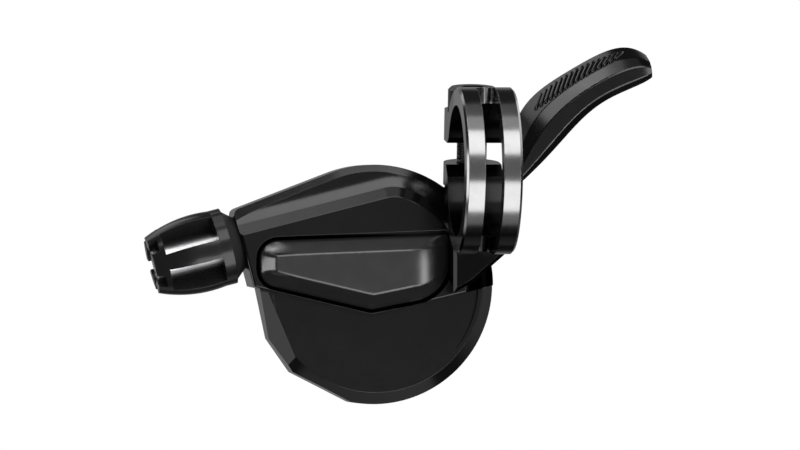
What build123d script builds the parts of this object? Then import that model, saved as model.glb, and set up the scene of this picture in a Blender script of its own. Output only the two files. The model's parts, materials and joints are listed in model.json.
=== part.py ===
from build123d import *
import os
from math import atan, cos, degrees, radians, sin, sqrt, tan

# Trigger gear shifter with one two-way lever, for the left end of a flat handlebar.
# X runs along the bar, Y away from the rider's view of the face, Z up. The origin is the bar's axis.
# Lengths are in millimetres and angles in degrees.

# Clamp bracket
bar_diameter = 22.2
bar_clearance = 0.05
clamp_wall = 3.05
clamp_width = 9.6
clamp_edge = 0.4
clamp_slot = 3.2
clamp_tilt = 8.0
bore_relief = 0.3
split_low = -0.7
split_high = 3.15
split_low_bevel = 1.9
split_high_bevel = 1.2
ear_top = 8.5
ear_bottom = -4.5
arm_near = 8.8
arm_left = -4.0
arm_step = -8.5
arm_right_low = -14.3
arm_knee_x = -0.6
arm_knee = -19.0
arm_low = -20.9
arm_edge = 0.6
boss_radius = 2.3
bracket_bolt_inset = 4.0
bracket_bolt_angle = 21.0

# Drum axis and housing
axle_x = -16.6
case_radius = 20.5
case_rise = 1.1
case_wall = 1.8
case_corner = 1.2
case_gap = 0.4
roof_slope = 21.0
barrel_slope = 14.4
case_front = 14.5
cover_front = 15.4
cove_floor = 16.5
cove_width = 1.45
cove_depth = 0.5
cove_round = 6.0
rim_bevel = 1.15
rim_bevel_depth = 0.6
end_round = 0.5
plateau_line_inset = 6.6
plateau_inset = 5.0
plateau_bevel = 1.7
plateau_bevel_depth = 1.3
plateau_corner = 5.0
edge_round = 0.25
cavity_front = 17.4
cavity_step = 19.6
plate_front = 24.6
plate_thickness = 1.6
band_tip_x = -0.7
band_drop = 5.2
band_slope = 13.4
band_corner = 4.0
band_edge = 0.3
cover_bevel = 2.0
cover_bevel_depth = 2.8
facet_angle = 203.0
facet_inset = 3.0
facet_lean = 32.0
crease_slope = -13.0
crease_offset = 9.0
crease_tilt = 4.0
recess_inset = 2.8
cover_flats = ((192.0, 1.05), (215.0, 0.5), (243.0, 0.8))

# Badge pad
badge_front = 12.5
badge_sink = 1.1
badge_bevel_start = 0.5
badge_gap = 0.65
badge_bevel_angle = 45.0
badge_left = -20.0
badge_right = 12.7
badge_top_left = 7.4
badge_top_right = 8.7
badge_low_left = 0.2
badge_low_right = -1.6
badge_tip_x = -0.8
badge_tip = -4.3
badge_round = 3.2
badge_right_round = 7.0
badge_top_round = 1.0
badge_tip_round = 1.2
badge_roll_start = 5.5
badge_roll_radius = 12.0
badge_edge = 0.25

# Cable drum and ratchet
cable_depth = 20.0
cable_inset = 0.75
cable_groove = 0.85
drum_thickness = 3.6
nipple_radius = 2.2
nipple_circle = 10.2
nipple_angle = 60.0
spring_room = 0.25
ratchet_thickness = 1.4
ratchet_gap = 0.2
ratchet_inset = 2.45
tooth_height = 1.4
ratchet_pitch = 12.0
tooth_tip = 0.7
tooth_root = 1.1

# Pawls
pawl_room = 1.1
hold_pawl_angle = 60.0
drive_pawl_angle = 288.0
pawl_lead = 24.0
pawl_release = 11.0
pawl_eye = 2.2
pawl_shoulder = 0.9
pawl_shoulder_lift = 1.7
pawl_nib = 0.35
pawl_nib_depth = 0.6
pin_radius = 1.1
pin_head = 1.75
pin_head_thickness = 0.5
pin_head_room = 0.3

# Axle, lever and their fits
axle_radius = 2.5
axle_front = 16.2
axle_flange = 4.2
axle_flange_thickness = 1.0
bush_wall = 0.8
running_gap = 0.05
washer_thickness = 0.5
washer_radius = 4.2
lever_hub = 8.8
lever_thickness = 3.2
lever_end_gap = 0.1
lever_back_reach = 12.0
lever_forward_travel = 48.0
nut_flats = 8.0
nut_height = 3.2
axle_nut_proud = 0.9
axle_washer_thickness = 0.8
axle_washer_radius = 5.0

# Paddle of the lever: from the drum's axis across and up to its middle, slope, height, near depth and depth
paddle_stations = (
    (17.8, 13.6, 44.0, 7.9, 22.6, 8.6),
    (28.6, 25.1, 45.0, 7.6, 22.2, 9.0),
    (35.3, 32.3, 41.0, 7.8, 21.9, 9.6),
    (41.2, 35.9, 26.0, 7.4, 21.6, 9.4),
    (45.5, 37.5, 17.0, 6.9, 21.5, 8.4),
    (48.6, 37.5, 7.0, 4.0, 21.8, 6.8),
)
# Corners of the paddle's section as shares of its depth and height
paddle_profile = (
    (0.0, -0.36),
    (0.0, -0.04),
    (0.18, 0.21),
    (0.74, 0.5),
    (1.0, 0.34),
    (1.0, -0.3),
    (0.84, -0.5),
    (0.12, -0.5),
)
paddle_root_radius = 24.5
paddle_root_width = 4.0
paddle_edge = 0.5
pin_eye_wall = 1.5

# Barrel adjuster
barrel_neck = 2.0
barrel_length = 13.5
barrel_rim = 6.6
barrel_end = 4.9
barrel_waist = 6.47
barrel_waist_place = 8.4
barrel_collar = 1.9
barrel_nose = 2.3
barrel_ribs = 5
barrel_rib_angle = 27.0
barrel_notch_angle = 26.0
barrel_notch_depth = 1.5
stem_radius = 3.95
stem_length = 9.3
socket_wall = 1.45
socket_length = 8.0
tube_radius = 3.08
housing_socket_radius = 2.1
housing_socket_depth = 11.0
cable_hole_radius = 0.8
tube_setback = 0.5
seal_rim = 6.1
seal_wall = 0.55

# Fasteners
clamp_bolt_radius = 2.5
clamp_bolt_circle = 15.9
clamp_head_radius = 4.25
clamp_head_height = 3.8
clamp_head_edge = 0.5
clamp_hex = 4.0
clamp_hex_depth = 2.4
hole_clearance = 0.15
sunk_head_angle = 45.0
bracket_bolt_radius = 1.5
bracket_head_radius = 2.8
screw_radius = 1.1
screw_head_radius = 2.1
screw_boss_wall = 0.95
screw_depth = 4.6
screw_inset = 4.2
screw_slot = 0.5
screw_slot_depth = 0.6
front_screw_angles = (90.0,)
cover_screw_angles = (195.0, 325.0)

# Springs
drum_spring_wire = 0.8
drum_spring_radius = 6.2
lever_spring_wire = 0.6
lever_spring_radius = 6.0
pawl_spring_wire = 0.4
pawl_spring_radius = 1.55
spring_turns = 2.0
spring_pitch_ratio = 1.15

# Values worked out from the sizes above
bore_radius = bar_diameter / 2 + bar_clearance
ring_radius = bore_radius + clamp_wall
half_width = clamp_width / 2
plate_back = plate_front + plate_thickness
drum_front = cable_depth - drum_thickness / 2
drum_back = cable_depth + drum_thickness / 2
pawl_front = drum_back + ratchet_gap
pawl_back = pawl_front + ratchet_thickness
bush_radius = axle_radius + running_gap + bush_wall
lever_front = plate_back + washer_thickness
lever_back = lever_front + lever_thickness
axle_washer_front = lever_back + lever_end_gap
nut_front = axle_washer_front + axle_washer_thickness
nut_back = nut_front + nut_height
arm_back = case_front
roof_normal = 90 + roof_slope
end_normal = 180 + barrel_slope
far_size = 4 * case_radius
axle_z = case_rise - case_radius
plateau_line = case_radius - plateau_line_inset
plateau_radius = case_radius - plateau_inset
screw_circle = case_radius - screw_inset
bracket_bolt_circle = case_radius - bracket_bolt_inset
pawl_circle = case_radius - case_wall - pawl_room - pawl_eye
drum_radius = pawl_circle - pin_head - pin_head_room
cable_pitch_radius = drum_radius - cable_inset
ratchet_tip = drum_radius - ratchet_inset
ratchet_root = ratchet_tip - tooth_height
pawl_shoulder_circle = ratchet_tip + pawl_shoulder_lift
pawl_nib_circle = ratchet_tip - pawl_nib_depth
rim_distance = case_radius + barrel_neck

drum_plane = Plane(origin=(axle_x, 0, axle_z), x_dir=(1, 0, 0), z_dir=(0, -1, 0))
clamp_turn = Rot(X=clamp_tilt)


def polar(radius, angle):
    """Point at a radius and angle about the drum's axis."""
    return (radius * cos(radians(angle)), radius * sin(radians(angle)))


def sloped(along, above, slope=barrel_slope):
    """Point along and above a line through the drum's axis at a slope."""
    turn = radians(slope)
    return (along * cos(turn) - above * sin(turn), along * sin(turn) + above * cos(turn))


def slab(profile, near, far, taper=0):
    """Profile about the drum's axis, made solid from the far depth towards the viewer."""
    return extrude(drum_plane.offset(-far) * profile, far - near, taper=taper)


def disc(radius, near, far, at=(0, 0)):
    """Round plate or pin along Y about a point given from the drum's axis."""
    return slab(Pos(*at) * Circle(radius), near, far)


def ring(outer, inner, near, far, at=(0, 0)):
    """Washer or tube along Y."""
    return disc(outer, near, far, at) - disc(inner, near, far, at)


def below(slope, offset):
    """Half plane under a line at a slope and a distance above the drum's axis."""
    corners = [(-far_size, offset), (-far_size, -far_size), (far_size, -far_size), (far_size, offset)]
    return Polygon(*[sloped(along, above, slope) for along, above in corners])


def coil_length(wire):
    """Length of a coil along its axis, over the wire."""
    return wire * (1 + spring_pitch_ratio * spring_turns)


def coil(radius, wire, near, at=(0, 0)):
    """Close coil along Y, from its near end."""
    pitch = wire * spring_pitch_ratio
    seat = drum_plane.offset(wire / 2 - near - coil_length(wire))
    path = seat * Pos(*at) * Helix(pitch, pitch * spring_turns, radius)
    section = Plane(origin=path @ 0, z_dir=path % 0) * Circle(wire / 2)
    return sweep(section, path=path)


def body_outline(radius):
    """Round housing outline with a spout between its roof line and the barrel's end face."""
    middle = (roof_normal + end_normal) / 2
    reach = radius / cos(radians((end_normal - roof_normal) / 2))
    spout = Polygon((0, 0), polar(radius, roof_normal), polar(reach, middle), polar(radius, end_normal))
    outline = Circle(radius) + spout
    corner = outline.vertices().sort_by_distance(polar(reach, middle))[0]
    return fillet(corner, case_corner)


def band_region():
    """Everything above the V-shaped lower edge of the front case."""
    rise = far_size * tan(radians(band_slope))
    tip = (band_tip_x, -band_drop)
    left = (band_tip_x - far_size, rise - band_drop)
    right = (band_tip_x + far_size, rise - band_drop)
    region = Polygon(tip, right, (right[0], 2 * far_size), (left[0], 2 * far_size), left)
    return fillet(region.vertices().sort_by_distance(tip)[0], band_corner)


def terrace(slope, line, radius):
    """Area under a sloped line on the left and inside a circle about the drum on the right."""
    low = -case_radius / 2
    corners = [(-far_size, low), (0, low), (0, line), (-far_size, line)]
    strip = Polygon(*[sloped(along, above, slope) for along, above in corners])
    arch = (Circle(radius) & below(slope, line)) - below(slope, low)
    return arch + strip


def plateau_outline(grow):
    """Raised face: straight edge along the barrel's slope, rounded into an arc about the drum."""
    line = plateau_line + grow
    radius = plateau_radius + grow
    outline = terrace(barrel_slope, line, radius)
    meeting = sloped(sqrt(radius ** 2 - line ** 2), line)
    return fillet(outline.vertices().sort_by_distance(meeting)[0], plateau_corner + grow)


def stepped(near_outline, near, far_outline, far):
    """Solid with sloping sides between a near and a far outline."""
    faces = [drum_plane.offset(-far) * far_outline, drum_plane.offset(-near) * near_outline]
    return loft(faces, ruled=True)


def screw_points(angles):
    """Places of the case screws."""
    return [polar(screw_circle, angle) for angle in angles]


def case_hollow():
    """Room for the drum in front and for the ratchet behind it."""
    drum_room = disc(drum_radius + case_gap, cavity_front, plate_front)
    gear_room = slab(body_outline(case_radius - case_wall), cavity_step, plate_front)
    return drum_room + gear_room


def screw_bosses(angles):
    """Posts between the case and the base plate, drilled for the case screws."""
    radius = screw_radius + screw_boss_wall
    posts = [disc(radius, cavity_step, plate_front, at) for at in screw_points(angles)]
    return Part() + posts


def screw_holes(angles):
    """Drillings for the case screws."""
    holes = [disc(screw_radius, plate_front - screw_depth, plate_front, at) for at in screw_points(angles)]
    return Part() + holes


def case_relief():
    """Stepped front of the case: raised face, bevel, shallow cove and bevelled rim."""
    bevel_back = case_front + plateau_bevel_depth
    wall = plateau_outline(plateau_bevel)
    top = stepped(plateau_outline(0), case_front, wall, bevel_back)
    top = fillet(top.faces().sort_by(Axis.Y)[0].edges(), edge_round)
    land = top + stepped(wall, bevel_back, plateau_outline(plateau_bevel + cove_width), cove_floor)
    land += slab(Rectangle(4 * far_size, 4 * far_size), cove_floor, plate_front)
    corners = land.edges().filter_by_position(Axis.Y, cove_floor - edge_round, cove_floor + edge_round)
    corners = corners.filter_by_position(Axis.Z, axle_z + edge_round, axle_z + 2 * case_radius)
    land = fillet(corners, cove_round)
    body = slab(body_outline(case_radius), case_front, plate_front)
    end_edges = body.faces().sort_by(Axis.Y)[0].edges().sort_by_distance(barrel_seat(case_radius).origin)
    body = fillet(end_edges[0], end_round)
    rim_front = cove_floor - cove_depth
    rim_back = cove_floor + rim_bevel_depth
    inset = rim_bevel * (rim_back - rim_front) / rim_bevel_depth
    crest = case_radius - inset
    tent = stepped(
        terrace(roof_slope, crest, crest), rim_front, terrace(roof_slope, case_radius, case_radius), rim_back
    )
    rim = slab(body_outline(case_radius + edge_round), rim_front, rim_back) - tent
    return (land & body) - rim


def barrel_seat(distance):
    """Frame on the cable's line, this far out from its tangent point, pointing out of the housing."""
    foot = sloped(-distance, cable_pitch_radius)
    turn = radians(barrel_slope)
    origin = (axle_x + foot[0], cable_depth, axle_z + foot[1])
    return Plane(origin=origin, x_dir=(0, -1, 0), z_dir=(-cos(turn), 0, -sin(turn)))


def rod(radius, start, end):
    """Round length on the cable's line between two distances from the tangent point."""
    return extrude(barrel_seat(start) * Circle(radius), end - start)


def badge_outline(grow=0):
    """Pad outline: round left end, V-shaped lower edge and a cut-back right end."""
    corners = [
        (badge_left, badge_top_left),
        (badge_left, badge_low_left),
        (badge_tip_x, badge_tip),
        (badge_right, badge_low_right),
        (badge_right, badge_top_right),
    ]
    rounds = [badge_round, badge_round, badge_tip_round, badge_right_round, badge_top_round]
    outline = Polygon(*corners)
    for corner, radius in zip(corners, rounds):
        outline = fillet(outline.vertices().sort_by_distance(corner)[0], radius)
    return offset(outline, grow) if grow else outline


def make_badge_pad():
    """Bevelled pad whose face rolls back at its right end."""
    bevel_back = case_front + badge_bevel_start
    pad = slab(badge_outline(), badge_front, bevel_back, taper=badge_bevel_angle)
    pad = fillet(pad.faces().sort_by(Axis.Y)[0].edges(), badge_edge)
    pad += slab(badge_outline(), bevel_back, case_front + badge_sink)
    level = Plane.XY.offset(axle_z - far_size)
    centre = (axle_x + badge_roll_start, badge_front + badge_roll_radius)
    flat = Rectangle(far_size, far_size, align=(Align.MAX, Align.CENTER))
    face = Circle(badge_roll_radius) + Pos(0, far_size / 2 - badge_roll_radius) * flat
    pad &= extrude(level * Pos(*centre) * face, 2 * far_size)
    return pad


def make_front_case():
    """Upper shell with its stepped front, badge pocket, barrel socket and drillings."""
    envelope = case_relief()
    stem_room = stem_radius + running_gap
    socket_start = case_radius - socket_length
    socket = rod(stem_room + socket_wall, socket_start, case_radius + case_corner)
    shell = envelope - case_hollow() + (socket & envelope) + screw_bosses(front_screw_angles)
    keep = slab(band_region(), case_front, plate_front)
    tip_at = drum_plane.offset(-case_front).from_local_coords((band_tip_x, -band_drop, 0))
    keep = fillet(keep.faces().sort_by(Axis.Y)[0].edges().sort_by_distance(tip_at)[:3], band_edge)
    shell &= keep
    shell -= rod(stem_room, socket_start, 2 * case_radius)
    shell -= screw_holes(front_screw_angles)
    shell -= slab(badge_outline(badge_gap), case_front, case_front + badge_sink)
    shell -= disc(axle_radius, axle_front, cavity_front)
    boss_at = polar(bracket_bolt_circle, bracket_bolt_angle)
    return shell - disc(boss_radius + hole_clearance, case_front, plate_front, boss_at)


def trimmed(solid, inset=0):
    """Solid cut along the flats of the cover's lower left side, or this far inside them."""
    for angle, cut in cover_flats:
        outside = drum_plane * Rot(Z=angle) * Pos(X=case_radius - cut - inset)
        solid -= outside * Box(far_size, far_size, far_size, align=(Align.MIN, Align.CENTER, Align.CENTER))
    return solid


def make_lower_cover():
    """Lower shell: bevelled round edge, left facet, creased face and a shallow recess on the right."""
    bevel_angle = degrees(atan(cover_bevel / cover_bevel_depth))
    bevel_back = cover_front + cover_bevel_depth
    shell = slab(Circle(case_radius), cover_front, bevel_back, taper=bevel_angle)
    shell += slab(body_outline(case_radius), bevel_back, plate_front)
    face = drum_plane.offset(-cover_front)
    facet_at = face * Rot(Z=facet_angle) * Pos(X=case_radius - facet_inset) * Rot(Y=90 - facet_lean)
    shell -= facet_at * Box(far_size, far_size, far_size, align=(Align.CENTER, Align.CENTER, Align.MIN))
    crease_at = face * Rot(Z=crease_slope) * Pos(Y=-crease_offset) * Rot(X=-crease_tilt)
    wedge = crease_at * Box(far_size, far_size, far_size, align=(Align.CENTER, Align.MIN, Align.MIN))
    shell -= wedge & disc(case_radius - recess_inset, 0, plate_front)
    shell = trimmed(shell)
    shell -= case_hollow()
    shell += screw_bosses(cover_screw_angles)
    shell -= slab(band_region(), 0, plate_front)
    return shell - screw_holes(cover_screw_angles)


def make_clamp_bracket():
    """Band with a windowed near half, split ears, and the arm and boss that carry the housing."""
    across = Plane.YZ.offset(-half_width)
    band = extrude(across * Circle(ring_radius), clamp_width)
    band = chamfer(band.edges().filter_by(GeomType.CIRCLE), clamp_edge)
    ear_plan = Pos(0, clamp_bolt_circle / 2) * Rectangle(clamp_width, clamp_bolt_circle)
    ear_plan += Pos(0, clamp_bolt_circle) * Circle(half_width)
    band += extrude(Plane.XY.offset(ear_bottom) * ear_plan, ear_top - ear_bottom)
    band -= extrude(across * Circle(bore_radius), clamp_width)
    gap_height = split_high - split_low
    gap = Box(2 * clamp_width, far_size, gap_height, align=(Align.CENTER, Align.MIN, Align.MIN))
    band -= Pos(Z=split_low) * gap
    for height, bevel in ((split_high, split_high_bevel), (split_low, split_low_bevel)):
        mouth = sqrt(bore_radius ** 2 - height ** 2)
        lips = band.edges().filter_by(Axis.X).sort_by_distance((0, mouth, height))
        band = chamfer(lips[0], bevel)
    window = Box(clamp_slot, far_size, far_size, align=(Align.CENTER, Align.MAX, Align.CENTER))
    window += Cylinder(clamp_slot / 2, far_size)
    band -= window
    bolt_hole = Pos(Y=clamp_bolt_circle) * Cylinder(clamp_bolt_radius, far_size)
    upper_hole = Pos(Y=clamp_bolt_circle) * Cylinder(
        clamp_bolt_radius + hole_clearance, far_size, align=(Align.CENTER, Align.CENTER, Align.MIN)
    )
    band = clamp_turn * (band - bolt_hole - upper_hole)
    plan = Polygon(
        (-half_width, 0),
        (-half_width, arm_step),
        (arm_left, arm_step - half_width - arm_left),
        (arm_left, arm_low),
        (arm_knee_x, arm_knee),
        (half_width, arm_right_low),
        (half_width, 0),
    )
    arm = extrude(Plane.XZ.offset(-arm_back) * plan, arm_back - arm_near)
    near_edges = arm.faces().sort_by(Axis.Y)[0].edges()
    arm = chamfer(near_edges, arm_edge)
    split_room = clamp_turn * Pos(Z=ear_bottom) * gap
    arm -= split_room
    arm -= extrude(across * Circle(bore_radius), clamp_width)
    boss_at = polar(bracket_bolt_circle, bracket_bolt_angle)
    boss = disc(boss_radius, arm_back, plate_front, boss_at)
    bracket = band + arm + boss
    bracket -= extrude(Plane.YZ.offset(-clamp_slot / 2) * Circle(bore_radius + bore_relief), clamp_slot)
    return bracket - disc(bracket_bolt_radius, arm_back, plate_front, boss_at)


def make_clamp_bolt():
    """Socket-head bolt through both ears."""
    shank = Pos(Z=ear_bottom) * Cylinder(
        clamp_bolt_radius, ear_top - ear_bottom, align=(Align.CENTER, Align.CENTER, Align.MIN)
    )
    head = Pos(Z=ear_top) * Cylinder(
        clamp_head_radius, clamp_head_height, align=(Align.CENTER, Align.CENTER, Align.MIN)
    )
    head = chamfer(head.edges().sort_by(Axis.Z)[-1], clamp_head_edge)
    top = ear_top + clamp_head_height
    hexagon = RegularPolygon(clamp_hex / 2, 6, major_radius=False)
    head -= extrude(Plane.XY.offset(top - clamp_hex_depth) * hexagon, clamp_hex_depth)
    return clamp_turn * Pos(Y=clamp_bolt_circle) * (shank + head)


def sunk_head(head_radius, shank_radius, at):
    """Countersunk screw head, flush with the back of the base plate."""
    depth = (head_radius - shank_radius) / tan(radians(sunk_head_angle))
    return slab(Pos(*at) * Circle(head_radius), plate_back - depth, plate_back, taper=sunk_head_angle)


def make_bracket_bolt():
    """Countersunk bolt from behind the base plate into the bracket's boss."""
    at = polar(bracket_bolt_circle, bracket_bolt_angle)
    sink = bracket_head_radius - bracket_bolt_radius
    shank = disc(bracket_bolt_radius, arm_back + sink, plate_back, at)
    return shank + sunk_head(bracket_head_radius, bracket_bolt_radius, at)


def make_base_plate():
    """Flat steel back of the housing, with its drillings and the drive pawl's curved slot."""
    plate = trimmed(slab(body_outline(case_radius - case_gap), plate_front, plate_back), case_gap)
    plate -= disc(axle_radius, plate_front, plate_back)
    plate -= disc(pin_radius, plate_front, plate_back, polar(pawl_circle, hold_pawl_angle))
    for at in screw_points(front_screw_angles + cover_screw_angles):
        plate -= disc(screw_radius, plate_front, plate_back, at)
        plate -= sunk_head(screw_head_radius, screw_radius, at)
    bolt_at = polar(bracket_bolt_circle, bracket_bolt_angle)
    plate -= disc(bracket_bolt_radius, plate_front, plate_back, bolt_at)
    plate -= sunk_head(bracket_head_radius, bracket_bolt_radius, bolt_at)
    sweep_start = drive_pawl_angle - lever_forward_travel
    sweep_size = lever_forward_travel + lever_back_reach
    track = CenterArc((0, 0), pawl_circle, sweep_start, sweep_size)
    slot = SlotArc(track, 2 * (pin_radius + case_gap))
    return plate - slab(slot, plate_front, plate_back)


def make_main_axle():
    """Fixed axle with a flange that seats on the base plate."""
    pin = disc(axle_radius, axle_front, nut_back + axle_nut_proud)
    return pin + disc(axle_flange, plate_front - axle_flange_thickness, plate_front)


def make_axle_nut():
    """Hexagon nut on the axle's back end."""
    hexagon = RegularPolygon(nut_flats / 2, 6, major_radius=False) - Circle(axle_radius)
    return slab(hexagon, nut_front, nut_back)


def make_cable_drum():
    """Drum with the cable's groove, a seat for its nipple and a pocket for the return spring."""
    drum = ring(drum_radius, bush_radius, drum_front, drum_back)
    mouth = Cylinder(drum_radius + cable_groove, 2 * cable_groove)
    mouth -= Cylinder(cable_pitch_radius, 2 * cable_groove)
    groove = mouth + Torus(cable_pitch_radius, cable_groove)
    drum -= drum_plane.offset(-cable_depth) * groove
    room = drum_spring_wire / 2 + spring_room
    pocket_back = drum_front + coil_length(drum_spring_wire) + spring_room
    drum -= ring(drum_spring_radius + room, drum_spring_radius - room, drum_front, pocket_back)
    drum -= disc(nipple_radius, drum_front, cable_depth + cable_groove, polar(nipple_circle, nipple_angle))
    slot = Rectangle(2 * drum_radius, 2 * cable_hole_radius, align=(Align.MIN, Align.CENTER))
    slot = Rot(Z=nipple_angle) * Pos(nipple_circle, 0) * slot
    return drum - slab(slot, drum_front, cable_depth + cable_hole_radius)


def make_ratchet_plate():
    """Toothed plate against the drum, with a gap between teeth at each whole pitch."""
    teeth = round(360 / ratchet_pitch)
    points = []
    for tooth in range(teeth):
        middle = (tooth + 0.5) * ratchet_pitch
        root_turn = degrees(tooth_root / 2 / ratchet_root)
        tip_turn = degrees(tooth_tip / 2 / ratchet_tip)
        points += [polar(ratchet_root, middle - root_turn), polar(ratchet_tip, middle - tip_turn)]
        points += [polar(ratchet_tip, middle + tip_turn), polar(ratchet_root, middle + root_turn)]
    return slab(Polygon(*points) - Circle(bush_radius), drum_back, pawl_back)


def hull(*circles):
    """Outline stretched around circles given as a radius and a place."""
    edges = []
    for radius, at in circles:
        edges += (Pos(*at) * Circle(radius)).edges()
    return make_hull(edges)


def make_pawl(angle):
    """Pawl lifted clear of the ratchet, with a nib that drops into a gap when it turns on its pin."""
    pivot = polar(pawl_circle, angle)
    shoulder = polar(pawl_shoulder_circle, angle - pawl_lead)
    nib = polar(pawl_nib_circle, angle - pawl_lead)
    outline = hull((pawl_eye, pivot), (pawl_shoulder, shoulder))
    outline += hull((pawl_shoulder, shoulder), (pawl_nib, nib))
    outline -= Pos(*pivot) * Circle(pin_radius + running_gap)
    lifted = Pos(*pivot) * Rot(Z=pawl_release) * Pos(-pivot[0], -pivot[1]) * outline
    return slab(lifted, pawl_front, pawl_back)


def pin_front():
    """Depth of a pawl pin's near end, with its head and spring in front of the pawl."""
    return pawl_front - coil_length(pawl_spring_wire) - running_gap - pin_head_thickness


def make_pawl_pin(angle, shoulder_back, back):
    """Headed pin with a shoulder behind the pawl."""
    at = polar(pawl_circle, angle)
    pin = disc(pin_radius, pin_front(), back, at)
    pin += disc(pin_head, pin_front(), pin_front() + pin_head_thickness, at)
    return pin + disc(pin_head, pawl_back + running_gap, shoulder_back, at)


def make_pawl_spring(angle):
    """Small torsion coil on a pawl's pin."""
    near = pin_front() + pin_head_thickness
    return coil(pawl_spring_radius, pawl_spring_wire, near, polar(pawl_circle, angle))


def paddle_section(across, up, slope, height, near, depth):
    """Cross-section of the lever: flat front, bevel, thumb face leaning to the viewer and rounded back."""
    turn = radians(slope)
    plane = Plane(
        origin=(axle_x + across, near, axle_z + up), x_dir=(0, 1, 0), z_dir=(cos(turn), 0, sin(turn))
    )
    outline = Polygon(*[(back * depth, rise * height) for back, rise in paddle_profile])
    return plane * fillet(outline.vertices(), paddle_edge)


def make_main_lever():
    """Hub plate behind the housing, tail for the drive pawl, and a paddle that curves forward."""
    root = polar(paddle_root_radius, paddle_stations[0][2] - lever_back_reach / 2)
    plan = hull((lever_hub, (0, 0)), (paddle_root_width, root))
    tail_at = polar(pawl_circle, drive_pawl_angle)
    plan += hull((lever_hub, (0, 0)), (pin_radius + pin_eye_wall, tail_at))
    lever = slab(plan, lever_front, lever_back)
    lever += loft([paddle_section(*station) for station in paddle_stations])
    lever -= disc(bush_radius, lever_front, lever_back)
    room = lever_spring_wire / 2 + spring_room
    pocket_back = lever_front + coil_length(lever_spring_wire) + spring_room
    lever -= ring(lever_spring_radius + room, lever_spring_radius - room, lever_front, pocket_back)
    return lever - disc(pin_radius, lever_front, lever_back, tail_at)


def make_barrel_adjuster():
    """Ribbed knob with milled pockets, a notched nose and a hollow stem."""
    seat = barrel_seat(rim_distance)
    section_plane = Plane(origin=seat.origin, x_dir=seat.x_dir, z_dir=-seat.y_dir)
    waist = ThreePointArc(
        (barrel_rim, barrel_collar), (barrel_waist, barrel_waist_place), (barrel_end, barrel_length)
    )
    rest = Polyline(
        (barrel_end, barrel_length), (0, barrel_length), (0, 0), (barrel_rim, 0), (barrel_rim, barrel_collar)
    )
    section = section_plane * make_face([waist, *rest.edges()])
    knob = revolve(section, Axis(seat.origin, seat.z_dir))
    pitch = 360 / barrel_ribs
    pocket_half = radians(pitch - barrel_rib_angle) / 2
    notch_half = radians(barrel_notch_angle) / 2
    reach = 2 * barrel_rim
    for rib in range(barrel_ribs):
        turn = Rot(Z=(rib + 0.5) * pitch)
        wedge = Polygon((0, 0), (reach, -reach * tan(pocket_half)), (reach, reach * tan(pocket_half)))
        pocket = seat.offset(barrel_collar) * turn * wedge
        knob -= extrude(pocket, barrel_length - barrel_collar - barrel_nose)
        mouth = Polygon((0, 0), (reach, -reach * tan(notch_half)), (reach, reach * tan(notch_half)))
        knob -= extrude(seat.offset(barrel_length - barrel_notch_depth) * turn * mouth, barrel_notch_depth)
    knob += rod(stem_radius, rim_distance - stem_length, rim_distance)
    return knob - rod(tube_radius + running_gap, rim_distance - stem_length, rim_distance + barrel_length)


def make_adjuster_tube():
    """Plain tube through the adjuster, with the cable housing's socket at its outer end."""
    end = rim_distance + barrel_length - tube_setback
    tube = rod(tube_radius, rim_distance - stem_length, end)
    tube -= rod(cable_hole_radius, rim_distance - stem_length, end)
    return tube - rod(housing_socket_radius, end - housing_socket_depth, end)


def make_adjuster_seal():
    """Flared rubber sleeve on the stem, between the knob and the housing."""
    start = case_radius + running_gap
    length = barrel_neck - 2 * running_gap
    flare = Cone(stem_radius + seal_wall, seal_rim, length, align=(Align.CENTER, Align.CENTER, Align.MIN))
    return barrel_seat(start) * flare - rod(stem_radius, start, start + length)


def make_cover_screws():
    """Slotted countersunk screws from behind the base plate into the case posts."""
    screws = []
    for at in screw_points(front_screw_angles + cover_screw_angles):
        screw = disc(screw_radius, plate_front - screw_depth, plate_back, at)
        screw += sunk_head(screw_head_radius, screw_radius, at)
        groove = Pos(*at) * Rectangle(2 * screw_head_radius, screw_slot)
        screws.append(screw - slab(groove, plate_back - screw_slot_depth, plate_back))
    return Compound(children=screws)


def main():
    """Write one file for each piece."""
    axle_room = axle_radius + running_gap
    pawl_shoulder_back = plate_front - ratchet_gap
    pieces = {
        "front_case": make_front_case(),
        "lower_cover": make_lower_cover(),
        "badge_pad": make_badge_pad(),
        "base_plate": make_base_plate(),
        "cover_screws": make_cover_screws(),
        "clamp_bracket": make_clamp_bracket(),
        "clamp_bolt": make_clamp_bolt(),
        "bracket_bolt": make_bracket_bolt(),
        "main_axle": make_main_axle(),
        "thrust_washer": ring(washer_radius, axle_room, cavity_front, drum_front - lever_end_gap),
        "lever_washer": ring(washer_radius, axle_room, plate_back, lever_front),
        "axle_washer": ring(axle_washer_radius, axle_room, axle_washer_front, nut_front),
        "axle_nut": make_axle_nut(),
        "cable_drum": make_cable_drum(),
        "drum_bush": ring(bush_radius, axle_room, drum_front, pawl_back),
        "ratchet_plate": make_ratchet_plate(),
        "drum_spring": coil(drum_spring_radius, drum_spring_wire, drum_front),
        "hold_pawl": make_pawl(hold_pawl_angle),
        "hold_pawl_pin": make_pawl_pin(hold_pawl_angle, plate_front, plate_back),
        "hold_pawl_spring": make_pawl_spring(hold_pawl_angle),
        "drive_pawl": make_pawl(drive_pawl_angle),
        "drive_pawl_pin": make_pawl_pin(drive_pawl_angle, pawl_shoulder_back, lever_back),
        "drive_pawl_spring": make_pawl_spring(drive_pawl_angle),
        "main_lever": make_main_lever(),
        "lever_bush": ring(bush_radius, axle_room, lever_front, lever_back),
        "lever_spring": coil(lever_spring_radius, lever_spring_wire, lever_front),
        "barrel_adjuster": make_barrel_adjuster(),
        "adjuster_tube": make_adjuster_tube(),
        "adjuster_seal": make_adjuster_seal(),
    }
    os.makedirs("parts", exist_ok=True)
    for name, solid in pieces.items():
        export_step(solid, f"parts/{name}.step")


if __name__ == "__main__":
    main()
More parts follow.
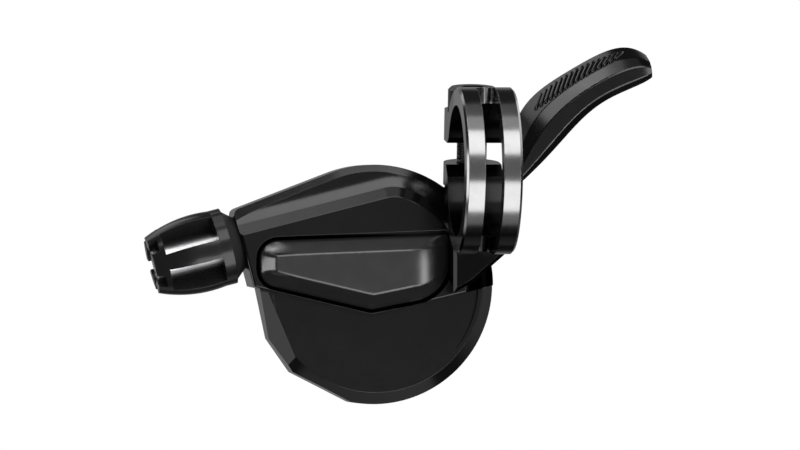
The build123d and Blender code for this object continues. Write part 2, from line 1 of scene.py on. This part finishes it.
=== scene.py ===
import json
import logging
import math
from dataclasses import dataclass, field
from enum import Enum
from typing import Any, Optional, Union

import bpy
from mathutils import Matrix, Vector


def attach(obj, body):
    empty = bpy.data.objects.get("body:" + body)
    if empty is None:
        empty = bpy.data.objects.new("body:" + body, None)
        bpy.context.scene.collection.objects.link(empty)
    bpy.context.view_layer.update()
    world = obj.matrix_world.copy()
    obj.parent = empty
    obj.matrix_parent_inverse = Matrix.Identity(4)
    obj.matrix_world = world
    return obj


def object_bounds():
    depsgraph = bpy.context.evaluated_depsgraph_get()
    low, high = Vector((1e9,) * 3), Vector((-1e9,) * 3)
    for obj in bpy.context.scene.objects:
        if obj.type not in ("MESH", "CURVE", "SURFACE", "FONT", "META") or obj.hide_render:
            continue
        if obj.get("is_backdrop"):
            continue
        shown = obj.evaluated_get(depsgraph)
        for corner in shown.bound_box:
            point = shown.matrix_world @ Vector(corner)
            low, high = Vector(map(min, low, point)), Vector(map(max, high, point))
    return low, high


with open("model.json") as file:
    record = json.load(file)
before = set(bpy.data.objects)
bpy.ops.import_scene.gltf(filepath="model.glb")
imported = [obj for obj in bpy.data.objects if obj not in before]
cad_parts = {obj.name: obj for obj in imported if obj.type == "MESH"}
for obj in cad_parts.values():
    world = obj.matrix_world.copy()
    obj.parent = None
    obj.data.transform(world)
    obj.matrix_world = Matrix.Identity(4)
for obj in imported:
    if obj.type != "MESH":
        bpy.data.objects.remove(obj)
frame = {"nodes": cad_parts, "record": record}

MM = 0.001
EDGE_SAMPLES = 6
LOG = logging.getLogger("shifter")

Colour = tuple[float, float, float]
Span = tuple[float, float]
SocketKey = Union[int, str]


class Signal:
    """One output socket of a shader node. Arithmetic on it adds Math nodes."""

    def __init__(self, graph: "Graph", socket: Optional[bpy.types.NodeSocket]) -> None:
        """Keep the graph and the wrapped socket."""
        self.graph = graph
        self.socket = socket

    def _math(self, operation: str, first: "Term", second: "Term") -> "Signal":
        """Add one Math node.

        Args:
            operation: Name of the operation.
            first: Value or signal on the first socket.
            second: Value or signal on the second socket.

        Returns:
            The node's result.
        """
        return self.graph.node("ShaderNodeMath", {"operation": operation}, {0: first, 1: second})

    def __add__(self, other: "Term") -> "Signal":
        """Sum."""
        return self._math("ADD", self, other)

    def __radd__(self, other: "Term") -> "Signal":
        """Sum, with the signal on the right."""
        return self._math("ADD", other, self)

    def __sub__(self, other: "Term") -> "Signal":
        """Difference."""
        return self._math("SUBTRACT", self, other)

    def __rsub__(self, other: "Term") -> "Signal":
        """Difference, with the signal on the right."""
        return self._math("SUBTRACT", other, self)

    def __mul__(self, other: "Term") -> "Signal":
        """Product."""
        return self._math("MULTIPLY", self, other)

    def __rmul__(self, other: "Term") -> "Signal":
        """Product, with the signal on the right."""
        return self._math("MULTIPLY", other, self)

    def either(self, other: "Term") -> "Signal":
        """Greater of the two."""
        return self._math("MAXIMUM", self, other)


Term = Union[Signal, float]
Tint = Union[Signal, Colour]


class Graph:
    """Node tree of one material or world."""

    def __init__(self, owner: Union[bpy.types.Material, bpy.types.World]) -> None:
        """Empty the owner's node tree."""
        owner.use_nodes = True
        self.tree = owner.node_tree
        self.tree.nodes.clear()

    def node(
        self,
        kind: str,
        settings: Optional[dict[str, Any]] = None,
        inputs: Optional[dict[SocketKey, Any]] = None,
        output: SocketKey = 0,
    ) -> Signal:
        """Add a node.

        Args:
            kind: Blender's type of the node.
            settings: Properties to set first.
            inputs: Values or signals by socket.
            output: Socket to return.

        Returns:
            The chosen output as a signal.
        """
        made = self.tree.nodes.new(kind)
        for name, value in (settings or {}).items():
            setattr(made, name, value)
        for key, value in (inputs or {}).items():
            if isinstance(value, Signal):
                self.tree.links.new(value.socket, made.inputs[key])
            else:
                made.inputs[key].default_value = value
        return Signal(self, made.outputs[output] if len(made.outputs) else None)

    def place(self, scale: Colour = (1.0, 1.0, 1.0)) -> Signal:
        """Object coordinates, stretched along each axis."""
        coordinates = self.node("ShaderNodeTexCoord", output="Object")
        return self.node("ShaderNodeMapping", None, {"Vector": coordinates, "Scale": scale})

    def noise(self, vector: Signal, size_mm: float, detail: float = 3.0, distortion: float = 0.0) -> Signal:
        """Noise whose lumps have a size in millimetres.

        Args:
            vector: Coordinates in metres.
            size_mm: Size of a lump.
            detail: Octaves.
            distortion: Warp of the pattern.

        Returns:
            The noise from 0 to 1.
        """
        inputs = {"Vector": vector, "Scale": 1.0 / (size_mm * MM), "Detail": detail, "Distortion": distortion}
        return self.node("ShaderNodeTexNoise", {"noise_dimensions": "3D"}, inputs)

    def part(self, vector: Signal, axis: str) -> Signal:
        """Share of a vector along X, Y or Z."""
        return self.node("ShaderNodeSeparateXYZ", None, {0: vector}, axis)

    def step(self, signal: Signal, start: float, end: float) -> Signal:
        """Even rise from 0 at the start to 1 at the end."""
        return self.node("ShaderNodeMapRange", None, {"Value": signal, "From Min": start, "From Max": end})

    def rise(self, axis: str, span_mm: Span) -> Signal:
        """Even rise from 0 to 1 over a stretch of one axis of the piece, in millimetres."""
        start, end = (value * MM for value in span_mm)
        return self.step(self.part(self.place(), axis), start, end)

    def blend(self, share: Term, first: Tint, second: Tint) -> Signal:
        """Mix of two colours."""
        tints = [tint if isinstance(tint, Signal) else (*tint, 1.0) for tint in (first, second)]
        return self.node("ShaderNodeMix", {"data_type": "RGBA"}, {0: share, 6: tints[0], 7: tints[1]}, 2)

    def bump(
        self, height: Signal, depth_mm: float, strength: float, under: Optional[Signal] = None
    ) -> Signal:
        """Bump from a height signal.

        Args:
            height: Height from 0 to 1.
            depth_mm: Height of 1 in millimetres.
            strength: Share of the bump that shows.
            under: Normal of a bump below this one.

        Returns:
            The bent normal.
        """
        inputs: dict[SocketKey, Any] = {"Height": height, "Distance": depth_mm * MM, "Strength": strength}
        if under is not None:
            inputs["Normal"] = under
        return self.node("ShaderNodeBump", None, inputs)

    def edge(self, radius_mm: float) -> Signal:
        """Normal that is rounded over a piece's sharp edges."""
        return self.node("ShaderNodeBevel", {"samples": EDGE_SAMPLES}, {"Radius": radius_mm * MM})

    def surface(self, inputs: dict[SocketKey, Any]) -> None:
        """Principled shader on the material's output."""
        shader = self.node("ShaderNodeBsdfPrincipled", None, inputs)
        self.node("ShaderNodeOutputMaterial", None, {"Surface": shader})


class Grain(Enum):
    """Way that a metal's fine lines run."""

    BLASTED = (1.0, 1.0, 1.0)
    AROUND_BAR = (1.0, 0.04, 0.04)
    ACROSS_PLATE = (0.05, 1.0, 1.0)


@dataclass(frozen=True)
class Finish:
    """Base of every finish.

    Attributes:
        name: Name of the material.
        colour: Base colour, linear.
        roughness: Mean roughness.
    """

    name: str
    colour: Colour
    roughness: float

    def material(self) -> bpy.types.Material:
        """Make the material.

        Returns:
            The material with the finish's nodes.
        """
        made = bpy.data.materials.new(self.name)
        graph = Graph(made)
        graph.surface(self.skin(graph))
        return made

    def skin(self, graph: Graph) -> dict[SocketKey, Any]:
        """Inputs of the shader, plain unless a kind of finish adds to them."""
        return {"Base Color": (*self.colour, 1.0), "Roughness": self.roughness}

    def shades(self, graph: Graph, share: Signal, spread: float) -> Signal:
        """Base colour that varies a little over the surface.

        Args:
            graph: Nodes of the material.
            share: Pattern from 0 to 1.
            spread: Share of the colour that the pattern takes away or adds.

        Returns:
            The colour.
        """
        dark = tuple(value * (1.0 - spread) for value in self.colour)
        light = tuple(value * (1.0 + spread) for value in self.colour)
        return graph.blend(share, dark, light)

    def gloss(self, *patterns: tuple[Signal, float]) -> Signal:
        """Roughness that varies about its mean.

        Args:
            patterns: Each pattern from 0 to 1, with the range of roughness that it brings.

        Returns:
            The roughness.
        """
        least = self.roughness - sum(spread for _, spread in patterns) / 2
        return sum((pattern * spread for pattern, spread in patterns), least)


@dataclass(frozen=True)
class MouldedPlastic(Finish):
    """Satin plastic with the spark-eroded grain of its mould.

    Attributes:
        grain_mm: Size of the grain.
        grain_depth_mm: Depth of the grain.
        grain_strength: Share of the grain that shows in the normal.
        grain_gloss: Range of roughness from the grain.
        patch_mm: Size of the soft patches.
        patch_gloss: Range of roughness from the patches.
        stain: Strength of the patches in the colour.
        specular: Specular level.
        edge_mm: Rounding of the sharp edges.
    """

    grain_mm: float = 0.09
    grain_depth_mm: float = 0.004
    grain_strength: float = 0.5
    grain_gloss: float = 0.06
    patch_mm: float = 3.6
    patch_gloss: float = 0.08
    stain: float = 0.18
    specular: float = 0.5
    edge_mm: float = 0.18

    def skin(self, graph: Graph) -> dict[SocketKey, Any]:
        """Grain in the normal, soft patches in the gloss and colour.

        Args:
            graph: Nodes of the material.

        Returns:
            Inputs of the shader.
        """
        place = graph.place()
        grain = graph.noise(place, self.grain_mm, 2.0)
        patches = graph.noise(place, self.patch_mm, 4.0, 0.6)
        return {
            "Base Color": self.shades(graph, patches, self.stain),
            "Roughness": self.gloss((patches, self.patch_gloss), (grain, self.grain_gloss)),
            "Specular IOR Level": self.specular,
            "Normal": graph.bump(grain, self.grain_depth_mm, self.grain_strength, graph.edge(self.edge_mm)),
        }


@dataclass(frozen=True)
class CasePlastic(MouldedPlastic):
    """Plastic of the front case, with painted shade: the groove of the badge's pocket is painted dead black
    for the shade down in it.

    Attributes:
        line: Colour of the painted shade in the groove.
        groove_shade_from: Depths where the painted shade begins and is full, in millimetres.
        groove_shade_below: Heights where the painted shade begins and is full, in millimetres.
    """

    line: Colour = (0.0005, 0.0005, 0.0005)
    groove_shade_from: Span = (14.7, 15.0)
    groove_shade_below: Span = (-10.6, -11.0)

    def skin(self, graph: Graph) -> dict[SocketKey, Any]:
        """Painted shade, black without gloss, down in the pocket's groove; plastic elsewhere.

        Args:
            graph: Nodes of the material.

        Returns:
            Inputs of the shader.
        """
        inputs = super().skin(graph)
        # painted shade: the badge pocket's groove is made dead black with no gloss, where shade would fall
        pocket = graph.rise("Y", self.groove_shade_from) * graph.rise("Z", self.groove_shade_below)
        inputs["Base Color"] = graph.blend(pocket, inputs["Base Color"], self.line)
        inputs["Metallic"] = pocket
        return inputs


@dataclass(frozen=True)
class Metal(Finish):
    """Metal with fine lines or a blasted skin.

    Attributes:
        grain: Way of the lines.
        grain_mm: Width of a line.
        grain_depth_mm: Depth of a line.
        grain_strength: Share of the lines that shows in the normal.
        grain_gloss: Range of roughness from the lines.
        patch_mm: Size of the soft patches.
        patch_gloss: Range of roughness from the patches.
        stain: Strength of the patches in the colour.
        metallic: Share of bare metal in the reflection.
        edge_mm: Rounding of the sharp edges.
    """

    grain: Grain = Grain.BLASTED
    grain_mm: float = 0.05
    grain_depth_mm: float = 0.004
    grain_strength: float = 0.4
    grain_gloss: float = 0.1
    patch_mm: float = 3.0
    patch_gloss: float = 0.06
    stain: float = 0.12
    metallic: float = 1.0
    edge_mm: float = 0.12

    def skin(self, graph: Graph) -> dict[SocketKey, Any]:
        """Lines in the normal and gloss, soft patches in the colour.

        Args:
            graph: Nodes of the material.

        Returns:
            Inputs of the shader.
        """
        lines = graph.noise(graph.place(self.grain.value), self.grain_mm, 3.0)
        patches = graph.noise(graph.place(), self.patch_mm, 4.0, 0.8)
        return {
            "Base Color": self.shades(graph, patches, self.stain),
            "Roughness": self.gloss((lines, self.grain_gloss), (patches, self.patch_gloss)),
            "Metallic": self.metallic,
            "Normal": graph.bump(lines, self.grain_depth_mm, self.grain_strength, graph.edge(self.edge_mm)),
        }


@dataclass(frozen=True)
class HalfCoatedMetal(Metal):
    """Metal that is bare towards the rider and coated black behind the bar and at its low end.

    Attributes:
        coat: Colour of the coat.
        coat_from: Depths behind the bar's axis where the coat begins and is full, in millimetres.
        coat_below: Heights where the coat begins and is full, in millimetres.
    """

    coat: Colour = (0.018, 0.018, 0.0182)
    coat_from: Span = (1.5, 4.5)
    coat_below: Span = (-9.4, -11.0)

    def skin(self, graph: Graph) -> dict[SocketKey, Any]:
        """Coat in the colour, over the metal's lines.

        Args:
            graph: Nodes of the material.

        Returns:
            Inputs of the shader.
        """
        inputs = super().skin(graph)
        coated = graph.rise("Y", self.coat_from).either(graph.rise("Z", self.coat_below))
        inputs["Base Color"] = graph.blend(coated, inputs["Base Color"], self.coat)
        return inputs


@dataclass(frozen=True)
class Rubber(Finish):
    """Dull rubber with a fine dusty bloom.

    Attributes:
        pebble_mm: Size of a pebble of the skin.
        pebble_depth_mm: Height of a pebble.
        pebble_strength: Share of the pebbles that shows in the normal.
        pebble_gloss: Range of roughness from the pebbles.
        bloom: Strength of the bloom in the colour.
    """

    pebble_mm: float = 0.2
    pebble_depth_mm: float = 0.01
    pebble_strength: float = 0.4
    pebble_gloss: float = 0.1
    bloom: float = 0.3

    def skin(self, graph: Graph) -> dict[SocketKey, Any]:
        """Bloom in the colour and a soft pebble in the normal.

        Args:
            graph: Nodes of the material.

        Returns:
            Inputs of the shader.
        """
        pebble = graph.noise(graph.place(), self.pebble_mm, 3.0)
        return {
            "Base Color": self.shades(graph, pebble, self.bloom),
            "Roughness": self.gloss((pebble, self.pebble_gloss)),
            "Normal": graph.bump(pebble, self.pebble_depth_mm, self.pebble_strength),
        }


@dataclass(frozen=True)
class Paper(Finish):
    """Pale paper that stays bright without light.

    Attributes:
        fibre_mm: Size of the fibres.
        fibre_stain: Strength of the fibres in the colour.
        glow: Brightness of its own.
    """

    fibre_mm: float = 3.0
    fibre_stain: float = 0.01
    glow: float = 1.0

    def skin(self, graph: Graph) -> dict[SocketKey, Any]:
        """Fibres in the colour and in the glow.

        Args:
            graph: Nodes of the material.

        Returns:
            Inputs of the shader.
        """
        fibre = graph.noise(graph.place(), self.fibre_mm, 4.0)
        pale = self.shades(graph, fibre, self.fibre_stain)
        return {
            "Base Color": pale,
            "Roughness": self.roughness,
            "Emission Color": pale,
            "Emission Strength": self.glow,
        }


FINISHES: tuple[Finish, ...] = (
    # the case plastic carries painted shade in the badge pocket's groove
    CasePlastic("case_plastic", (0.003, 0.003, 0.0031), 0.17, grain_depth_mm=0.002, edge_mm=0.1),
    MouldedPlastic("cover_plastic", (0.003, 0.003, 0.0031), 0.18, grain_depth_mm=0.002),
    MouldedPlastic("lever_plastic", (0.003, 0.003, 0.0031), 0.18, grain_depth_mm=0.002, edge_mm=0.05),
    MouldedPlastic("slide_plastic", (0.55, 0.55, 0.5), 0.45),
    MouldedPlastic("drum_plastic", (0.09, 0.09, 0.09), 0.42),
    Metal("badge_metal", (0.1, 0.1, 0.101), 0.22, metallic=0.85, edge_mm=0.5),
    HalfCoatedMetal("clamp_alloy", (0.26, 0.26, 0.262), 0.19, grain=Grain.AROUND_BAR),
    Metal("knob_alloy", (0.03, 0.03, 0.031), 0.2, metallic=0.6),
    Metal("tube_alloy", (0.9, 0.9, 0.91), 0.32),
    Metal("black_steel", (0.03, 0.03, 0.031), 0.28, metallic=0.7),
    Metal("plate_steel", (0.42, 0.42, 0.43), 0.34, grain=Grain.ACROSS_PLATE),
    Metal("bright_steel", (0.62, 0.62, 0.64), 0.26),
    Metal("spring_steel", (0.46, 0.46, 0.47), 0.3),
    Metal("bush_bronze", (0.5, 0.33, 0.16), 0.4),
    Rubber("seal_rubber", (0.006, 0.006, 0.006), 0.7),
)


@dataclass
class Wardrobe:
    """Every finish as a material, by the record's slot names.

    Attributes:
        materials: Materials by slot.
    """

    materials: dict[str, bpy.types.Material] = field(default_factory=dict)

    def build(self) -> None:
        """Make each material once."""
        for finish in FINISHES:
            self.materials[finish.name] = finish.material()

    def dress(self, piece: bpy.types.Object, slot: str) -> None:
        """Put a finish on all of a piece.

        Args:
            piece: Object to dress.
            slot: Slot of the finish.
        """
        if not piece.material_slots:
            piece.data.materials.append(self.materials[slot])
        for holder in piece.material_slots:
            holder.material = self.materials[slot]


def select_none() -> None:
    """Deselect everything."""
    bpy.ops.object.select_all(action="DESELECT")


def select_only(piece: bpy.types.Object) -> None:
    """Make a piece the one selected and active object."""
    select_none()
    piece.select_set(True)
    bpy.context.view_layer.objects.active = piece


def settle(piece: bpy.types.Object) -> None:
    """Move a piece's place, turn and scale into its mesh."""
    select_only(piece)
    bpy.ops.object.transform_apply(location=True, rotation=True, scale=True)


@dataclass
class CadNodes:
    """Packed nodes that keep their own shape and get a better finish.

    Attributes:
        wardrobe: Materials by slot.
    """

    wardrobe: Wardrobe

    def dress(self) -> None:
        """Put on each node the finish of its slot in the record."""
        for part in frame["record"]["subparts"]:
            self.wardrobe.dress(frame["nodes"][part["node"]], part["material_slot"])
        LOG.info("dressed %d nodes", len(frame["nodes"]))


def axle_place() -> Vector:
    """Middle of the lever's axle, in metres."""
    joints = {joint["name"]: joint for joint in frame["record"]["behaviour"]["joints"]}
    return Vector(joints["lever"]["pos_m"])


def joined(pieces: list[bpy.types.Object], name: str) -> bpy.types.Object:
    """Make several objects one.

    Args:
        pieces: Objects to join.
        name: Name of the result.

    Returns:
        The joined object.
    """
    select_only(pieces[0])
    for piece in pieces:
        piece.select_set(True)
    bpy.ops.object.join()
    whole = bpy.context.object
    whole.name = name
    return whole


@dataclass
class ThumbRibs:
    """Raised ribs across the lever's thumb face.

    Attributes:
        wardrobe: Materials by slot.
        count: Number of ribs.
        width: Width of a rib, in millimetres.
        height: Height of a rib, in millimetres.
        proud: Height that shows above the face, in millimetres.
        rounding: Rounding of a rib's edges, in millimetres.
        segments: Steps of the rounding.
        low: Line of the near ends: first, middle and last, across and up from the axle in millimetres.
        high: Line of the far ends.
        angle: Angle under which two faces shade as one, in degrees.
        outside: Distance in front of the axle that is clear of the lever, in millimetres.
    """

    wardrobe: Wardrobe
    count: int = 16
    width: float = 0.72
    height: float = 0.9
    proud: float = 0.36
    rounding: float = 0.2
    segments: int = 3
    low: tuple[Span, Span, Span] = ((29.0, 29.9), (35.3, 34.2), (42.6, 38.6))
    high: tuple[Span, Span, Span] = ((30.4, 32.8), (37.1, 37.3), (44.2, 39.9))
    angle: float = 50.0
    outside: float = 100.0

    def build(self) -> None:
        """Model one rib, copy it along the lever and join the copies."""
        model = self._model()
        copies = [self._copy(model, step / (self.count - 1)) for step in range(self.count)]
        bpy.data.objects.remove(model)
        ribs = joined(copies, "thumb_ribs")
        select_only(ribs)
        bpy.ops.object.shade_smooth_by_angle(angle=math.radians(self.angle))
        self.wardrobe.dress(ribs, "lever_plastic")
        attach(ribs, "lever")
        LOG.info("%d ribs, %d faces", self.count, len(ribs.data.polygons))

    def _model(self) -> bpy.types.Object:
        """Rounded bar at the origin.

        Returns:
            The bar, as long along X as it is wide.
        """
        select_none()
        bpy.ops.mesh.primitive_cube_add(size=1.0)
        rib = bpy.context.object
        rib.scale = (self.width * MM, self.width * MM, self.height * MM)
        settle(rib)
        bpy.ops.object.mode_set(mode="EDIT")
        bpy.ops.mesh.select_all(action="SELECT")
        bpy.ops.mesh.bevel(offset=self.rounding * MM, segments=self.segments, affect="EDGES")
        bpy.ops.object.mode_set(mode="OBJECT")
        return rib

    def _copy(self, model: bpy.types.Object, share: float) -> bpy.types.Object:
        """Stretch and place one copy of the rib.

        Args:
            model: Rib to copy.
            share: Place along the thumb face, from 0 to 1.

        Returns:
            The placed copy.
        """
        near, near_normal = self._touch(self.low, share)
        far, far_normal = self._touch(self.high, share)
        along = (far - near).normalized()
        up = (near_normal + far_normal).normalized()
        across = up.cross(along).normalized()
        up = along.cross(across)
        turn = Matrix((along, across, up)).transposed().to_4x4()
        middle = (near + far) / 2 - up * (self.height / 2 - self.proud) * MM
        select_only(model)
        bpy.ops.object.duplicate()
        rib = bpy.context.object
        stretch = (far - near).length / (self.width * MM)
        rib.matrix_world = Matrix.Translation(middle) @ turn @ Matrix.Diagonal((stretch, 1.0, 1.0, 1.0))
        settle(rib)
        return rib

    def _touch(self, line: tuple[Span, Span, Span], share: float) -> tuple[Vector, Vector]:
        """Point of the lever behind a point of a curved line.

        Args:
            line: First, middle and last point that the line runs through.
            share: Place along the line, from 0 to 1.

        Returns:
            The point on the lever's face and the face's normal.
        """
        weights = (
            (1.0 - share) * (1.0 - 2.0 * share),
            4.0 * share * (1.0 - share),
            share * (2.0 * share - 1.0),
        )
        across = sum(weight * point[0] for weight, point in zip(weights, line))
        up = sum(weight * point[1] for weight, point in zip(weights, line))
        start = axle_place() + Vector((across, -self.outside, up)) * MM
        found, place, normal, _ = frame["nodes"]["main_lever"].ray_cast(start, Vector((0.0, 1.0, 0.0)))
        if not found:
            raise RuntimeError(f"no thumb face {across:.1f} across and {up:.1f} up from the axle")
        return place, normal


@dataclass
class ClampThread:
    """Thread on the clamp bolt where it crosses the split.

    Attributes:
        wardrobe: Materials by slot.
        radius: Radius of the shank, in millimetres.
        depth: Height of the thread, in millimetres.
        pitch: Pitch of the thread, in millimetres.
        low: Lower end, up the bolt's axis, in millimetres.
        turns: Number of turns.
        steps: Sections in a turn.
        reach: Distance of the bolt from the bar's axis, in millimetres.
        tilt: Lean of the bolt, in degrees.
    """

    wardrobe: Wardrobe
    radius: float = 2.5
    depth: float = 0.22
    pitch: float = 0.8
    low: float = -0.95
    turns: int = 5
    steps: int = 48
    reach: float = 15.9
    tilt: float = 8.0

    def build(self) -> None:
        """Wind one three-sided section up the shank."""
        select_none()
        bpy.ops.mesh.primitive_circle_add(
            vertices=3, radius=self.pitch * MM / 2, rotation=(math.pi / 2, 0.0, 0.0), fill_type="NOTHING"
        )
        thread = bpy.context.object
        thread.name = "clamp_bolt_thread"
        settle(thread)
        bpy.ops.object.mode_set(mode="EDIT")
        bpy.ops.mesh.select_all(action="SELECT")
        bpy.ops.transform.rotate(value=math.pi / 2, orient_axis="Y", center_override=(0.0, 0.0, 0.0))
        bpy.ops.transform.resize(value=(self.depth / self.pitch * 2.0, 1.0, 1.0))
        bpy.ops.transform.translate(value=(self.radius * MM, 0.0, self.low * MM))
        bpy.ops.object.mode_set(mode="OBJECT")
        winding = thread.modifiers.new("winding", "SCREW")
        winding.axis = "Z"
        winding.screw_offset = self.pitch * MM
        winding.iterations = self.turns
        winding.steps = self.steps
        winding.render_steps = self.steps
        winding.use_merge_vertices = True
        winding.use_normal_calculate = True
        bpy.ops.object.modifier_apply(modifier=winding.name)
        lean = Matrix.Rotation(math.radians(self.tilt), 4, "X")
        thread.matrix_world = lean @ Matrix.Translation(Vector((0.0, self.reach, 0.0)) * MM)
        settle(thread)
        self.wardrobe.dress(thread, "black_steel")
        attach(thread, "housing")
        LOG.info("clamp thread, %d faces", len(thread.data.polygons))


@dataclass
class Camera:
    """Long lens at the photograph's angle.

    Attributes:
        azimuth: Turn about the vertical, in degrees.
        distance: Distance from the bar's axis, in millimetres.
        width: Width of the frame at the bar's axis, in millimetres.
        shift_right: Place of the frame's middle along the picture, in millimetres.
        shift_up: Height of the frame's middle, in millimetres.
        sensor: Width of the sensor, in millimetres.
        depth: Far limit of the view, in distances.
    """

    azimuth: float = -7.4
    distance: float = 2400.0
    width: float = 136.0
    shift_right: float = -14.27
    shift_up: float = -9.23
    sensor: float = 36.0
    depth: float = 4.0

    def build(self) -> None:
        """Place the camera and make it the scene's own."""
        turn = math.radians(self.azimuth)
        right = Vector((math.cos(turn), math.sin(turn), 0.0))
        back = Vector((math.sin(turn), -math.cos(turn), 0.0))
        select_none()
        place = right * self.shift_right + Vector((0.0, 0.0, self.shift_up)) + back * self.distance
        bpy.ops.object.camera_add(location=place * MM, rotation=(math.pi / 2, 0.0, turn))
        camera = bpy.context.object
        camera.data.sensor_width = self.sensor
        camera.data.lens = self.sensor * self.distance / self.width
        camera.data.clip_end = self.depth * self.distance * MM
        bpy.context.scene.camera = camera


@dataclass
class SoftBox:
    """Area light aimed at the shifter.

    Attributes:
        name: Name of the light.
        azimuth: Bearing from the shifter, in degrees, 0 towards the viewer and 90 to the right.
        elevation: Height above the horizon, in degrees.
        width: Width, in millimetres.
        height: Height, in millimetres.
        power: Power, in watts.
        distance: Distance from the shifter, in millimetres.
    """

    name: str
    azimuth: float
    elevation: float
    width: float
    height: float
    power: float
    distance: float = 600.0

    def build(self, aim: Vector) -> None:
        """Place the light.

        Args:
            aim: Point that the light faces.
        """
        bearing, rise = math.radians(self.azimuth), math.radians(self.elevation)
        out = Vector((
            math.sin(bearing) * math.cos(rise),
            -math.cos(bearing) * math.cos(rise),
            math.sin(rise),
        ))
        select_none()
        bpy.ops.object.light_add(type="AREA", location=aim + out * self.distance * MM)
        light = bpy.context.object
        light.name = self.name
        light.rotation_euler = out.to_track_quat("Z", "Y").to_euler()
        light.data.shape = "RECTANGLE"
        light.data.size = self.width * MM
        light.data.size_y = self.height * MM
        light.data.energy = self.power
        light.visible_camera = False


@dataclass
class Studio:
    """Pale floor, white surroundings and soft light.

    Attributes:
        floor_drop: Depth of the floor below the shifter, in millimetres.
        floor_size: Size of the floor, in millimetres.
        floor_finish: Finish of the floor.
        surround: Brightness of the room in reflections.
        backdrop: Brightness of the white screen behind the shifter in reflections.
        screen_from: Reach behind the shifter, of a way one long, where the screen begins and is full.
        screen_end: Square of the rise of a way where the screen ends and is full.
        lights: Lights round the shifter.
    """

    floor_drop: float = 150.0
    floor_size: float = 8000.0
    floor_finish: Finish = Paper("floor_paper", (0.8, 0.8, 0.8), 0.9)
    surround: float = 0.03
    backdrop: float = 0.25
    screen_from: Span = (0.15, 0.5)
    screen_end: Span = (0.3, 0.1)
    lights: tuple[SoftBox, ...] = (
        SoftBox("key_light", 9.0, 39.0, 350.0, 360.0, 1.33),
        SoftBox("low_light", 17.0, -35.0, 420.0, 460.0, 2.0),
        SoftBox("key_fade", 10.0, 67.5, 300.0, 200.0, 0.15),
        SoftBox("low_fade", 14.0, -67.0, 300.0, 210.0, 0.07),
        SoftBox("front_light", 7.0, 5.0, 420.0, 360.0, 0.12),
        SoftBox("right_light", 32.5, -4.0, 115.0, 420.0, 0.65),
        SoftBox("left_light", -60.0, 57.0, 190.0, 300.0, 0.55),
        SoftBox("side_light", -84.0, -3.0, 300.0, 380.0, 1.1),
        SoftBox("kick_light", -112.0, -29.0, 260.0, 260.0, 0.15),
        SoftBox("crown_light", -90.0, 73.0, 500.0, 200.0, 0.33),
        SoftBox("thumb_light", -150.0, 42.0, 300.0, 230.0, 0.22),
        SoftBox("top_light", 10.0, 88.0, 300.0, 300.0, 0.06),
        SoftBox("under_light", 180.0, -67.0, 800.0, 240.0, 0.18),
        SoftBox("far_light", 120.0, 28.0, 480.0, 420.0, 0.9),
        SoftBox("fill_light", 75.0, 28.0, 420.0, 480.0, 0.7),
    )

    def build(self) -> None:
        """Make the floor, the surroundings and the lights."""
        low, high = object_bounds()
        self._floor(low.z - self.floor_drop * MM)
        self._world()
        for light in self.lights:
            light.build((low + high) / 2)
        bpy.context.scene.view_settings.view_transform = "Standard"

    def _floor(self, height: float) -> None:
        """Add the floor.

        Args:
            height: Height of the floor, in metres.
        """
        select_none()
        bpy.ops.mesh.primitive_plane_add(size=self.floor_size * MM, location=(0.0, 0.0, height))
        floor = bpy.context.object
        floor.name = "floor"
        settle(floor)
        floor.data.materials.append(self.floor_finish.material())
        floor.visible_glossy = False
        floor.visible_diffuse = False
        floor.visible_shadow = False
        floor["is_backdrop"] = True

    def _world(self) -> None:
        """White to the camera, and a white screen in a dim room to the reflections."""
        world = bpy.data.worlds.new("studio")
        graph = Graph(world)
        way = graph.node("ShaderNodeTexCoord", output="Generated")
        rise = graph.part(way, "Z")
        behind = graph.step(graph.part(way, "Y"), *self.screen_from)
        screen = behind * graph.step(rise * rise, *self.screen_end)
        seen = graph.node("ShaderNodeLightPath", output="Is Camera Ray")
        glow = screen * self.backdrop + self.surround
        paint = (1.0, 1.0, 1.0, 1.0)
        room = graph.node("ShaderNodeBackground", None, {"Color": paint, "Strength": glow})
        white = graph.node("ShaderNodeBackground", None, {"Color": paint, "Strength": 1.0})
        mixed = graph.node("ShaderNodeMixShader", None, {0: seen, 1: room, 2: white})
        graph.node("ShaderNodeOutputWorld", None, {"Surface": mixed})
        bpy.context.scene.world = world


def main() -> None:
    """Build the scene."""
    logging.basicConfig(level=logging.INFO, format="%(name)s: %(message)s")
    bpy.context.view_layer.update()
    Camera().build()
    wardrobe = Wardrobe()
    wardrobe.build()
    CadNodes(wardrobe).dress()
    ThumbRibs(wardrobe).build()
    ClampThread(wardrobe).build()
    Studio().build()


if __name__ == "__main__":
    main()
